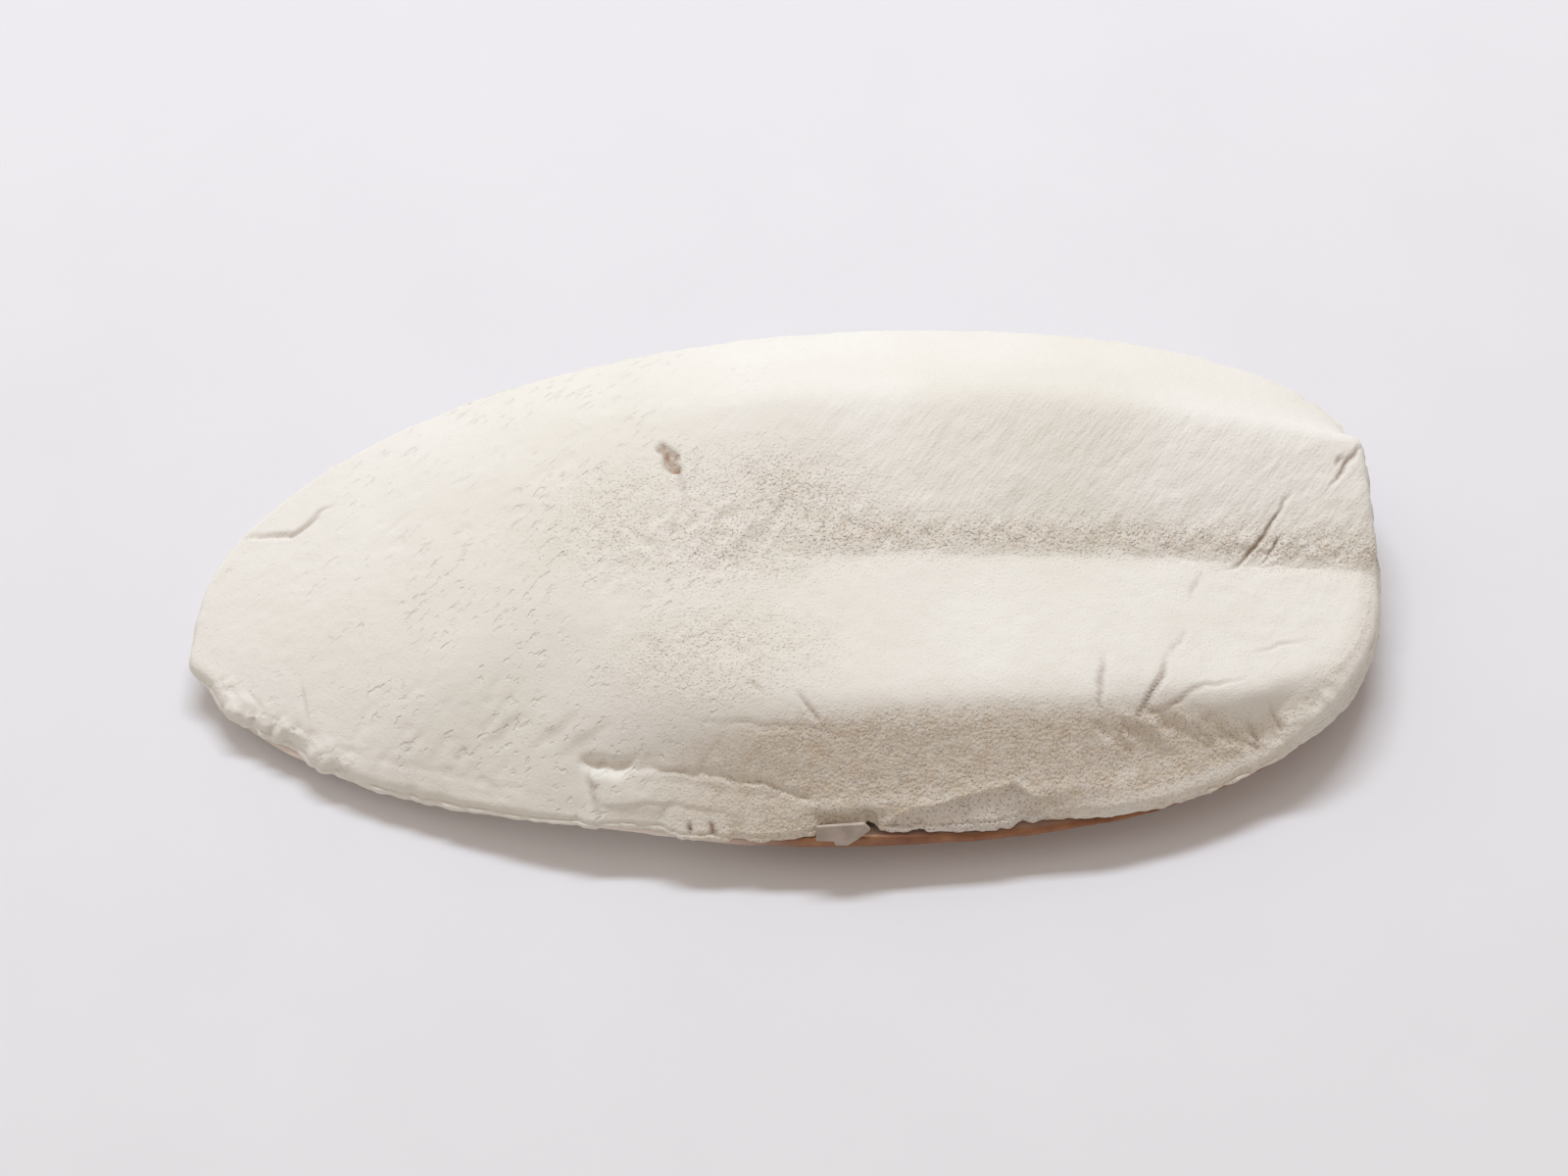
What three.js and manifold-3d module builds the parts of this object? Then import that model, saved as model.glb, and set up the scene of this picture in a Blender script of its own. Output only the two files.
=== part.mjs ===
// A cuttlebone, the chalky inner shell of a cuttlefish, with its blunt end broken square.
// It lies on its hard back shield with the soft layered side up, tipped a little to the front.
// Millimetres, +Z up. +X runs along the bone to the broken end, +Y to the far, higher rim.
// The origin is on the surface it lies on, under the middle of the bone.
// The skin is one closed grid: round the outline one way, and the other way from the groove
// line over the belly to the rim, down the thin rim edge and back under the shield.

import * as THREE from 'three';
import { mergeVertices } from 'three/addons/utils/BufferGeometryUtils.js';
import Module from 'manifold-3d';

// Plan of the bone
const WIDEST_X = 10.2;
const TIP_REACH = 80;
const FRONT_CORNER_REACH = 59.6;
const BACK_CORNER_REACH = 65.6;
const BROKEN_END_X = 69.8;
const BREAK_ROUNDING = 2.2;
const FRONT_HALF_WIDTH = 32.4;
const BACK_HALF_WIDTH = 32.4;
const TIP_FULLNESS = 1.91;
const FRONT_CORNER_FULLNESS = 2.5;
const BACK_CORNER_FULLNESS = 2.35;
const TIP_BEND = 2.0;

// Heights of the belly
const TIP_CROWN = 7.0;
const CROWN_RISE = 14.0;
const CROWN_DROP = 7.0;
const SIDE_TILT = 0.11;
const GROOVE_DEPTH = 3.5;
const END_DEPTH = 0.7;
const GROOVE_Y = -2;
const GROOVE_DRIFT = 0.012;
const TERRACE_REACH = 30;
const RIDGE_REACH = 19.8;
const RIDGE_CLOSING = 3.8;
const GROOVE_START_X = -50;
const GROOVE_END_X = 56;

// How the belly falls to the rim
const FOOT_CURVE = 1.12;
const RIDGE_ROUNDING = 0.03;
const SHELF_SLOPE = 0.72;

// Rim and shield
const TIP_RIM = 7.0;
const RIM_RISE = 2.7;
const TIP_LEAN = 1.3;
const WORN_RISE = 1.0;
const RIM_THICKNESS = 1.5;
const TIP_EXTRA = 0.8;
const LIP_HEIGHT = 0.8;
const RIM_BULGE = 0.35;
const END_LIP = 1.2;
const END_FOOT = 3.3;
const KEEL_Y = -3;
const KEEL_START_X = -36;
const KEEL_END_X = 46;
const REST_FACE_SHARE = 0.32;
const SHIELD_CURVE = 1.6;

// Fineness of the skin
const AROUND = 116;
const BELLY_ROWS = 22;
const SHIELD_ROWS = 9;

const ease = THREE.MathUtils.smoothstep;
const mix = THREE.MathUtils.lerp;

// The tip bends to the front over the last third of the bone.
function tipBend(x) {
  const reach = THREE.MathUtils.clamp((-x - 28) / 42, 0, 1);
  return -TIP_BEND * reach * reach;
}

// Outline point: a superellipse for each quarter, with the far one cut off at the broken end.
function outline(turn) {
  const along = -Math.cos(turn);
  const across = -Math.sin(turn);
  const front = across < 0;
  const cornerFullness = front ? FRONT_CORNER_FULLNESS : BACK_CORNER_FULLNESS;
  const cornerReach = front ? FRONT_CORNER_REACH : BACK_CORNER_REACH;
  const fullness = along > 0 ? cornerFullness : TIP_FULLNESS;
  const reach = along > 0 ? cornerReach : TIP_REACH;
  const half = front ? FRONT_HALF_WIDTH : BACK_HALF_WIDTH;
  const swell = (Math.abs(along) ** fullness + Math.abs(across) ** fullness) ** (-1 / fullness);
  let x = WIDEST_X + reach * along * swell;
  if (!front) {
    x = BROKEN_END_X - BREAK_ROUNDING * Math.log1p(Math.exp((BROKEN_END_X - x) / BREAK_ROUNDING));
  }
  return { x, y: half * across * swell + tipBend(x) };
}

// The groove line drifts to the front and bends with the tip.
function grooveY(x) {
  return GROOVE_Y - GROOVE_DRIFT * Math.max(x, 0) + tipBend(x);
}

// The far ridge keeps its distance from the groove and closes in on it near the broken end.
function ridgeY(x) {
  return grooveY(x) + RIDGE_REACH - RIDGE_CLOSING * ease(x, 30, 75);
}

// Height of the belly far from the rim: a long crown, tilted sideways, with a V groove in it.
function bellyHeight(x, y) {
  const crown = TIP_CROWN + CROWN_RISE * ease(x, -78, -2) - CROWN_DROP * ease(x, 22, 86);
  const off = y - grooveY(x);
  const terrace = Math.max(0, 1 + off / TERRACE_REACH) ** 1.1;
  const farSide = Math.max(0, 1 - off / (ridgeY(x) - grooveY(x))) ** 1.5;
  const depth = GROOVE_DEPTH * ease(x, -34, 36) + END_DEPTH * ease(x, 34, 62);
  return crown + SIDE_TILT * y - depth * (off < 0 ? terrace : farSide);
}

// A ramp from 0 to 1 that stays level up to the start, bends there and then runs straight.
function softRamp(value, start, rounding) {
  const bend = (place) => Math.log1p(Math.exp((place - start) / rounding));
  return (bend(value) - bend(0)) / (bend(1) - bend(0));
}

// What changes round the outline: rim heights, the front shelf and the shape of the bank.
function rimStation(turn) {
  const edge = outline(turn);
  const { x, y } = edge;
  const front = 0.5 + 0.5 * THREE.MathUtils.clamp(Math.sin(turn) / 0.25, -1, 1);
  const farEnd = ease(x, 63, 69) * (1 - ease(y - ridgeY(x), -1, 2.5));
  const ends = mix(farEnd, ease(x, 54, 68), front);
  const worn = front * ease(x, -6, 5) * (1 - ease(x, 30, 46));
  const atTip = front * ease(-x, 22, 50);
  const plainRim = TIP_RIM + RIM_RISE * ease(x, -82, -14) + SIDE_TILT * y - TIP_LEAN * atTip;
  const lip = LIP_HEIGHT * ease(x, -40, 0) * (1 - 0.7 * ease(x, 22, 50));
  const thickness = RIM_THICKNESS + lip + TIP_EXTRA * atTip;
  const brokenRim = bellyHeight(x, y) - END_LIP;
  const brokenFoot = END_FOOT + 0.06 * (y + 20);
  const shelfWidth = 5.2 * ease(x, -36, -25) - 2 * ease(x, -22, 4) + 0.2 * ease(x, 14, 32);
  const shelf = front * shelfWidth * (1 - 0.6 * ease(x, 58, 69));
  return {
    edge,
    front,
    shelf,
    shelfRise: shelf * SHELF_SLOPE,
    dome: 2.3 + 1.4 * front * ease(-x, 34, 50),
    shoulder: 0.79 - 0.08 * ease(x, -14, 6) + 0.05 * ease(x, 26, 44) + 0.16 * ease(x, 44, 58),
    rounding: 0.1 - 0.055 * ease(x, -24, 12) - 0.01 * ease(x, 44, 58),
    rimTop: mix(plainRim + WORN_RISE * worn, brokenRim, ends),
    rimFoot: mix(plainRim - thickness, brokenFoot, ends),
  };
}

// The belly, share 0 on the groove line and 1 at the rim.
// It falls as a dome at the tip, as a bank with a shelf along the front and as a roof behind.
function bellyPoint(turn, share) {
  const station = rimStation(turn);
  const { edge, front } = station;
  const spineX = mix(GROOVE_START_X, GROOVE_END_X, (1 - Math.cos(turn)) / 2);
  const spineY = grooveY(spineX);
  const x = mix(spineX, edge.x, share);
  const y = mix(spineY, edge.y, share);
  const shelfShare = station.shelf / Math.hypot(edge.x - spineX, edge.y - spineY);
  const onBank = Math.min(1, share / (1 - shelfShare));
  const onShelf = Math.min(1, (1 - share) / Math.max(shelfShare, 1e-6));
  const dome = 1 - onBank ** station.dome;
  const ramp = Math.min(1, softRamp(onBank, station.shoulder, station.rounding));
  const bank = (1 - ramp) ** FOOT_CURVE;
  const ridgeShare = (ridgeY(edge.x) - spineY) / Math.max(edge.y - spineY, 1e-3);
  const roof = 1 - softRamp(share, THREE.MathUtils.clamp(ridgeShare, 0, 1.05), RIDGE_ROUNDING);
  const frontFall = mix(dome, bank, ease(edge.x, -34, -12));
  const farFall = mix(dome, roof, ease(edge.x, -34, 6));
  const fall = mix(farFall, frontFall, front);
  const low = station.rimTop + station.shelfRise * onShelf;
  return [x, y, mix(low, bellyHeight(x, y), fall)];
}

// Halfway down the rim edge, a little outside the rim line.
function edgePoint(turn) {
  const station = rimStation(turn);
  const outX = station.edge.x - WIDEST_X;
  const outY = station.edge.y;
  const swell = 1 + RIM_BULGE / Math.hypot(outX, outY);
  return [WIDEST_X + outX * swell, outY * swell, (station.rimTop + station.rimFoot) / 2];
}

// The shield, share 1 at the rim and 0 on the keel line, flat where the bone rests.
function shieldPoint(turn, share) {
  const station = rimStation(turn);
  const keelX = mix(KEEL_START_X, KEEL_END_X, (1 - Math.cos(turn)) / 2);
  const x = mix(keelX, station.edge.x, share);
  const y = mix(KEEL_Y, station.edge.y, share);
  const climb = Math.max(0, (share - REST_FACE_SHARE) / (1 - REST_FACE_SHARE));
  return [x, y, station.rimFoot * climb ** SHIELD_CURVE];
}

function boneSkin() {
  const rows = [];
  for (let row = 0; row <= BELLY_ROWS; row += 1) {
    const share = 1 - (1 - row / BELLY_ROWS) ** 1.35;
    rows.push((turn) => bellyPoint(turn, share));
  }
  rows.push(edgePoint);
  for (let row = 0; row <= SHIELD_ROWS; row += 1) {
    const share = mix(1, REST_FACE_SHARE, row / SHIELD_ROWS);
    rows.push((turn) => shieldPoint(turn, share));
  }
  rows.push((turn) => shieldPoint(turn, 0));

  const positions = [];
  const faces = [];
  rows.forEach((rowPoint, row) => {
    for (let step = 0; step < AROUND; step += 1) {
      positions.push(...rowPoint((2 * Math.PI * step) / AROUND));
      const next = (step + 1) % AROUND;
      const here = row * AROUND;
      const below = here + AROUND;
      if (row < rows.length - 1) {
        faces.push(here + step, below + step, below + next);
        faces.push(here + step, below + next, here + next);
      }
    }
  });
  const skin = new THREE.BufferGeometry();
  skin.setAttribute('position', new THREE.Float32BufferAttribute(positions, 3));
  skin.setIndex(faces);
  return skin;
}

// A pointed splinter from one place to another: it cuts a crack, pit or chip where it goes in.
function splinter(from, to, width, depth) {
  const start = new THREE.Vector3(...from);
  const finish = new THREE.Vector3(...to);
  const run = finish.clone().sub(start);
  const shape = new THREE.OctahedronGeometry(1);
  shape.scale(run.length() / 2, width / 2, depth);
  shape.rotateY(-Math.atan2(run.z, Math.hypot(run.x, run.y)));
  shape.rotateZ(Math.atan2(run.y, run.x));
  const middle = start.add(finish).multiplyScalar(0.5);
  shape.translate(middle.x, middle.y, middle.z);
  return shape;
}

// A crumb of chalk standing on the rim.
function crumb(place, length, height) {
  const shape = new THREE.IcosahedronGeometry(1);
  shape.scale(length / 2, 1.1, height / 2);
  shape.rotateZ(-0.6);
  shape.translate(...place);
  return shape;
}

const wasm = await Module();
wasm.setup();

function solid(geometry) {
  const bare = new THREE.BufferGeometry();
  bare.setAttribute('position', geometry.getAttribute('position'));
  bare.setIndex(geometry.getIndex());
  const merged = mergeVertices(bare, 1e-4);
  const index = merged.getIndex().array;
  const whole = [];
  for (let at = 0; at < index.length; at += 3) {
    const [a, b, c] = [index[at], index[at + 1], index[at + 2]];
    if (a !== b && b !== c && c !== a) whole.push(a, b, c);
  }
  return new wasm.Manifold(new wasm.Mesh({
    numProp: 3,
    vertProperties: new Float32Array(merged.getAttribute('position').array),
    triVerts: new Uint32Array(whole),
  }));
}

const crumbs = [
  crumb([-65.2, -10.2, 5.0], 4.2, 2.2),
  crumb([-61.6, -13.5, 4.9], 5.2, 2.6),
  crumb([-57.2, -16.5, 4.8], 4.6, 2.2),
  crumb([-52.8, -18.8, 4.7], 4.0, 2.0),
];

const cuts = [
  // slits across the far side of the groove, near the broken end
  splinter([69.0, 11.6, 15.7], [64.6, 6.0, 15.1], 1.0, 1.4),
  splinter([60.0, 5.8, 15.7], [51.4, -3.6, 13.7], 1.1, 1.4),
  splinter([58.8, 1.4, 14.1], [55.8, -2.4, 12.9], 0.7, 1.0),
  // cracks that run down over the front shoulder
  splinter([45.8, -11.8, 15.0], [42.2, -18.4, 15.5], 0.8, 1.0),
  splinter([43.0, -17.2, 15.5], [39.0, -22.4, 13.5], 1.0, 1.2),
  splinter([35.6, -15.6, 16.6], [34.6, -21.8, 15.0], 0.9, 1.0),
  // the curved crack near the tip
  splinter([-63.2, 9.9, 8.7], [-56.8, 9.2, 9.8], 0.8, 0.9),
  splinter([-57.4, 8.8, 9.7], [-53.0, 12.6, 10.7], 0.8, 0.9),
  // the pit on the far slope
  splinter([-14.6, 13.9, 20.6], [-11.4, 8.4, 20.8], 2.4, 1.2),
  // the hollow behind the split margin plate, and the break across the plate
  splinter([-25.8, -22.0, 10.7], [-17.4, -23.9, 10.9], 2.0, 1.3),
  splinter([-24.9, -22.6, 10.4], [-23.1, -28.6, 6.7], 1.0, 0.9),
  // the bite out of the front rim, and the flake line beside it
  splinter([6.2, -32.6, 7.2], [10.4, -32.6, 7.2], 2.6, 1.6),
  splinter([9.4, -30.9, 8.2], [27.6, -28.4, 9.7], 1.0, 0.9),
];

let bone = solid(boneSkin());
crumbs.forEach((piece) => {
  bone = bone.add(solid(piece));
});
cuts.forEach((piece) => {
  bone = bone.subtract(solid(piece));
});

const cut = bone.getMesh();
const geometry = new THREE.BufferGeometry();
geometry.setAttribute('position', new THREE.Float32BufferAttribute(cut.vertProperties, 3));
geometry.setIndex([...cut.triVerts]);
geometry.computeVertexNormals();

const chalk = new THREE.MeshStandardMaterial({ color: '#eae6df', roughness: 0.92, metalness: 0 });
const cuttlebone = new THREE.Mesh(geometry, chalk);
cuttlebone.name = 'cuttlebone';

const part = new THREE.Group();
part.add(cuttlebone);

export default part;
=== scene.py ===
# %% [markdown]
# # A cuttlebone on a pale table
# A cuttlebone is the chalky inner shell of a cuttlefish. This one lies on its hard back shield, with
# the soft layered side up, and its blunt end is snapped off square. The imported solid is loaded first,
# because it fixes the size, the place and the body that every piece here rides on.

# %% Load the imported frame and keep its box
import math

import bpy
import numpy as np
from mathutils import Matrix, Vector


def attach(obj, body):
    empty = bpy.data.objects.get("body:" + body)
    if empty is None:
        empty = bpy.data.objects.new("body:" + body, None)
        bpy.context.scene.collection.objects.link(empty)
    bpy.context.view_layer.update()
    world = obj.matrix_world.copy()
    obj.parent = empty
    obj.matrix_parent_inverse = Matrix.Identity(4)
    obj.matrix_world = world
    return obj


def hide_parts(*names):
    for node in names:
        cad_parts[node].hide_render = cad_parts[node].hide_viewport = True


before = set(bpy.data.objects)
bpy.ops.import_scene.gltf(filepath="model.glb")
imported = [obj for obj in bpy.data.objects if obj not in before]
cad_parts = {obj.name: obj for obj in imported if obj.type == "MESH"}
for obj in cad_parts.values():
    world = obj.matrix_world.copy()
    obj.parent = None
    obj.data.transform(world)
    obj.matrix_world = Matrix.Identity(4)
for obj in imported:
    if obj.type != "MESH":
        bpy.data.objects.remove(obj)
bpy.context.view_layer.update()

MM = 0.001
print("packed nodes:", sorted(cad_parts))

# %% [markdown]
# ## Small tools
# Nearly every change along the bone is a smooth ramp, so one ramp function does most of the shaping.
# Most numbers given to it are places along the bone, in millimetres. The crumbly chalk needs smooth
# random heights. They could come from texture nodes alone, but then the mesh itself would stay bare,
# so a lattice of seeded random values is blended here with numpy.

# %% Ramps, bells and smooth random heights
LATTICE = 97


def ease(value, low, high):
    """Smooth ramp: 0 below low, 1 above high, three t squared less two t cubed between."""
    t = np.clip((value - low) / (high - low), 0.0, 1.0)
    return t * t * (3.0 - 2.0 * t)


def stretch(value, start, full, still_full, end):
    """A smooth ramp up at the start of a stretch, times one less a smooth ramp at its end."""
    return ease(value, start, full) * (1.0 - ease(value, still_full, end))


def bell(value):
    """Bell curve: e to the power of minus the square, which is 1 at nought."""
    return np.exp(-value ** 2)


def mix(first, second, share):
    """Straight blend: the first value, plus the share of the way to the second."""
    return first + (second - first) * share


def soft_bend(value, start, rounding):
    """Level before the start, straight after it: log of one plus e to the way past it, in roundings."""
    return np.log1p(np.exp((value - start) / rounding))


def soft_ramp(value, start, rounding):
    """A ramp from 0 to 1 that stays level up to the start, bends softly there and then runs straight."""
    low, high = soft_bend(0.0, start, rounding), soft_bend(1.0, start, rounding)
    return (soft_bend(value, start, rounding) - low) / (high - low)


def turned(x, y, angle):
    """Distances along and across a direction that is turned by an angle from the long axis."""
    return math.cos(angle) * x + math.sin(angle) * y, math.cos(angle) * y - math.sin(angle) * x


def grain(x, y, size, seed):
    """Random heights 0 to 1 on a square lattice of the given size, eased between its corners."""
    heights = np.random.default_rng(seed).random((LATTICE, LATTICE))
    column, across = np.divmod(np.asarray(x) / size, 1.0)
    row, up = np.divmod(np.asarray(y) / size, 1.0)
    left, right = column.astype(int) % LATTICE, (column.astype(int) + 1) % LATTICE
    low, high = row.astype(int) % LATTICE, (row.astype(int) + 1) % LATTICE
    across, up = ease(across, 0.0, 1.0), ease(up, 0.0, 1.0)
    below = mix(heights[left, low], heights[right, low], across)
    above = mix(heights[left, high], heights[right, high], across)
    return mix(below, above, up)


def rough(x, y, size, seed):
    """Grain of one size, half as much at half the size and a quarter at a quarter, about zero."""
    coarse = grain(x, y, size, seed) - 0.5
    middle = grain(x, y, size / 2, seed + 1) - 0.5
    fine = grain(x, y, size / 4, seed + 2) - 0.5
    return coarse + 0.5 * middle + 0.25 * fine


print("grain at one place:", round(float(grain(3.2, 1.7, 2.0, 5)), 4))

# %% [markdown]
# ## The outline
# Seen from above the bone is a long oval, fullest past its middle. A traced curve would need many
# points, but a superellipse for each quarter needs three numbers and stays smooth where they meet.
# The far quarter runs on past the break and is then cut off softly at the snapped end.

# %% Outline of the bone, in millimetres
WIDEST_X, HALF_WIDTH = 10.2, 32.4
TIP_REACH, TIP_FULLNESS = 80.0, 1.91
FRONT_CORNER_REACH, FRONT_CORNER_FULLNESS = 59.6, 2.5
BACK_CORNER_REACH, BACK_CORNER_FULLNESS = 65.6, 2.35
BROKEN_END_X, BREAK_ROUNDING = 69.8, 2.2
TIP_BEND, BEND_FROM_X, BEND_LENGTH = 2.0, -28.0, 42.0
TURN_SHIFT = 0.2


def tip_bend(x):
    """The tip leans to the front by the square of the way along the last third of the bone."""
    return -TIP_BEND * np.clip((BEND_FROM_X - x) / BEND_LENGTH, 0.0, 1.0) ** 2


def outline(turn):
    """Superellipse: the ellipse point pushed out until the two powers of its shares add up to one."""
    along, across = -np.cos(turn), -np.sin(turn)
    tip, front = along <= 0.0, across < 0.0
    corner = np.where(front, FRONT_CORNER_FULLNESS, BACK_CORNER_FULLNESS)
    fullness = np.where(tip, TIP_FULLNESS, corner)
    corner_reach = np.where(front, FRONT_CORNER_REACH, BACK_CORNER_REACH)
    reach = np.where(tip, TIP_REACH, corner_reach)
    swell = (np.abs(along) ** fullness + np.abs(across) ** fullness) ** (-1.0 / fullness)
    x = WIDEST_X + reach * along * swell
    snapped = BROKEN_END_X - BREAK_ROUNDING * soft_bend(BROKEN_END_X, x, BREAK_ROUNDING)
    x = np.where(front, x, snapped)
    return x, HALF_WIDTH * across * swell + tip_bend(x)


def turns(count):
    """Even turns plus a part of the sine of twice the turn, which evens out the steps between points."""
    even = 2.0 * np.pi * np.arange(count) / count
    return even + TURN_SHIFT * np.sin(2.0 * even)


outline_x, outline_y = outline(turns(400))
print("outline spans", np.round([np.ptp(outline_x), np.ptp(outline_y)], 1), "mm")

# %% [markdown]
# ## The belly
# The soft side is a long dome that leans to the front, with a shallow groove that opens towards the
# snapped end. Its height far from the rim is one formula in x and y. Near the rim it falls to the
# thin edge: gently at the tip, as a steep bank along the front, more softly along the far side.

# %% Height of the belly, and what changes round the rim
CROWN_TIP, CROWN_RISE, CROWN_DROP = 7.0, 14.0, 7.0
SIDE_TILT = 0.11
GROOVE_DEPTH, END_DEPTH = 3.5, 0.7
GROOVE_Y, GROOVE_DRIFT, GROOVE_WANDER = -2.0, 0.012, 0.8
TERRACE_REACH, TERRACE_POWER = 30.0, 1.1
RIDGE_REACH, RIDGE_CLOSING, RIDGE_POWER = 19.8, 3.8, 1.5
FRONT_BLEND = 0.25
RIM_TIP, RIM_RISE, TIP_LEAN = 7.0, 2.7, 1.3
CHALK_EDGE, TIP_EDGE, SCAR_EDGE = 1.2, 2.0, 1.1
WORN_RISE, WORN_INSET = 1.0, 0.7
RIM_ROLL, TIP_ROLL, CHIP_ROLL, END_ROLL = 0.6, 0.8, 0.3, 0.6
END_LIP, END_FOOT, END_FOOT_TILT, END_FOOT_Y = 1.2, 3.8, 0.06, -20.0
SHOULDER, MIDDLE_SHOULDER, RIGHT_SHOULDER, END_SHOULDER = 0.79, -0.08, 0.05, 0.18
BANK_ROUNDING, MIDDLE_ROUNDING, END_ROUNDING = 0.10, -0.055, -0.02
SHELF, MIDDLE_SHELF, RIGHT_SHELF = 5.2, -2.0, 0.2
END_SHELF_LOSS, SHELF_SLOPE = 0.6, 0.72
DOME_POWER, TIP_DOME_POWER = 2.3, 1.4


def groove_y(x):
    """The groove line drifts to the front along the bone, and bends with the tip."""
    return GROOVE_Y - GROOVE_DRIFT * np.maximum(x, 0.0) + tip_bend(x)


def ridge_y(x):
    """The far ridge keeps its distance from the groove and closes in on it near the snapped end."""
    return groove_y(x) + RIDGE_REACH - RIDGE_CLOSING * ease(x, 30, 75)


def belly_height(x, y):
    """Crown ramp up from the tip and down to the break, plus the tilt, less the V of the groove."""
    crown = CROWN_TIP + CROWN_RISE * ease(x, -78, -2) - CROWN_DROP * ease(x, 22, 86)
    off = y - groove_y(x) + GROOVE_WANDER * ease(x, -12, 6) * rough(x, y, 3.2, 25)
    terrace = np.clip(1.0 + off / TERRACE_REACH, 0.0, 1.0) ** TERRACE_POWER
    far_side = np.clip(1.0 - off / (ridge_y(x) - groove_y(x)), 0.0, 1.0) ** RIDGE_POWER
    close = np.where(off < 0.0, terrace, far_side)
    depth = GROOVE_DEPTH * ease(x, -34, 36) + END_DEPTH * ease(x, 34, 62)
    return crown + SIDE_TILT * y - depth * close


def rim_stations(turn):
    """Edge point, outward direction, rim heights and bank shape at each turn round the outline."""
    x, y = outline(turn)
    step_x, step_y = np.roll(x, -1) - np.roll(x, 1), np.roll(y, -1) - np.roll(y, 1)
    step = np.hypot(step_x, step_y)
    walk = np.cumsum(np.hypot(x - np.roll(x, 1), y - np.roll(y, 1)))
    front = 0.5 + 0.5 * np.clip(np.sin(turn) / FRONT_BLEND, -1.0, 1.0)
    far_end = ease(x, 63, 69) * (1.0 - ease(y - ridge_y(x), -1.0, 2.5))
    ends = mix(far_end, ease(x, 54, 68), front)
    worn = front * stretch(x, -6, 5, 30, 46)
    at_tip = front * ease(-x, 22, 50)
    plain = RIM_TIP + RIM_RISE * ease(x, -82, -14) + SIDE_TILT * y
    plain = plain + WORN_RISE * worn - TIP_LEAN * at_tip
    thick = SCAR_EDGE * front * stretch(x, 9, 24, 34, 50)
    plain_foot = plain - mix(CHALK_EDGE, TIP_EDGE, at_tip) - thick
    end_foot = END_FOOT + END_FOOT_TILT * (y - END_FOOT_Y)
    shoulder = SHOULDER + MIDDLE_SHOULDER * ease(x, -14, 6)
    shoulder = shoulder + RIGHT_SHOULDER * ease(x, 26, 44) + END_SHOULDER * ease(x, 44, 58)
    rounding = BANK_ROUNDING + MIDDLE_ROUNDING * ease(x, -24, 12) + END_ROUNDING * ease(x, 44, 58)
    shelf = SHELF * ease(x, -36, -25) + MIDDLE_SHELF * ease(x, -22, 4) + RIGHT_SHELF * ease(x, 14, 32)
    shelf = front * shelf * (1.0 - END_SHELF_LOSS * ease(x, 58, 69))
    chipped = front * stretch(x, -30, -22, 30, 44)
    roll = mix(mix(RIM_ROLL, TIP_ROLL, at_tip), CHIP_ROLL, chipped)
    return {
        "x": x, "y": y, "out_x": step_y / step, "out_y": -step_x / step,
        "walk": walk, "front": front, "ends": ends, "worn": worn, "thick": thick,
        "rim_top": mix(plain, belly_height(x, y) - END_LIP, ends),
        "foot": mix(plain_foot, end_foot, ends),
        "roll": mix(roll, END_ROLL, ends),
        "shelf": shelf, "shelf_rise": shelf * SHELF_SLOPE,
        "dome": DOME_POWER + TIP_DOME_POWER * front * ease(-x, 34, 50),
        "shoulder": shoulder, "rounding": rounding,
    }


belly_middle = belly_height(np.array([-40.0, 0.0, 40.0]), np.array([0.0, 0.0, 0.0]))
print("belly height along the middle:", np.round(belly_middle, 1), "mm")

# %% [markdown]
# ## Wear of the rim
# The thin chalk edge is nibbled all round. At the front of the tip it has broken into crumbs beside a
# small corner, and near the middle of the front edge a bite is missing. This moves the outline in or
# out a little, so it belongs to the edge point and not to the relief on top.

# %% Nibbled rim
NIBBLE, RAGGED_NIBBLE, SMALL_CHIP, WIDE_CHIP = 0.16, 0.30, 0.40, 0.30
CRUMBS_FROM_X, CRUMBS_TO_X = -67.5, -50.0
CRUMB_LUMP, FINE_LUMP = 1.5, 0.45
TIP_CORNER_Y, TIP_CORNER_WIDTH, TIP_CORNER_OUT = -5.2, 1.5, 0.9
TIP_FLAT_Y, TIP_FLAT_WIDTH, TIP_FLAT_IN = 0.5, 3.0, 0.35
BITE_FROM_X, BITE_TO_X, BITE_DEPTH = 7.4, 9.6, 0.9


def rim_wear(station):
    """Outward shift of the edge: nibbles, crumbs and the tip's corner, less chips, bite and wear."""
    x, y, walk, front = station["x"], station["y"], station["walk"], station["front"]
    crumbs = front * stretch(x, CRUMBS_FROM_X - 2, CRUMBS_FROM_X + 1, CRUMBS_TO_X - 3, CRUMBS_TO_X)
    ragged = front * stretch(x, -32, -20, 28, 40)
    nibbles = NIBBLE * rough(walk, 0.0, 1.6, 11) + RAGGED_NIBBLE * ragged * rough(walk, 0.0, 1.7, 14)
    chips = SMALL_CHIP * ragged * ease(grain(walk, 0.0, 1.9, 21), 0.60, 0.68)
    chips = chips + WIDE_CHIP * ragged * ease(grain(walk, 0.0, 3.4, 22), 0.52, 0.58)
    lumps = CRUMB_LUMP * (grain(walk, 0.0, 2.9, 17) - 0.55) + FINE_LUMP * rough(walk, 0.0, 1.1, 18)
    bite = front * stretch(x, BITE_FROM_X, BITE_FROM_X + 0.6, BITE_TO_X - 0.8, BITE_TO_X)
    corner = TIP_CORNER_OUT * bell((y - TIP_CORNER_Y) / TIP_CORNER_WIDTH)
    corner = corner - TIP_FLAT_IN * bell((y - TIP_FLAT_Y) / TIP_FLAT_WIDTH)
    corner = corner * (1.0 - ease(x, -66, -60))
    wear = nibbles + crumbs * lumps + corner - chips - BITE_DEPTH * bite
    return wear - WORN_INSET * station["worn"], crumbs


print("rim wear spans", np.round(np.ptp(rim_wear(rim_stations(turns(840)))[0]), 2), "mm")

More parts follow.
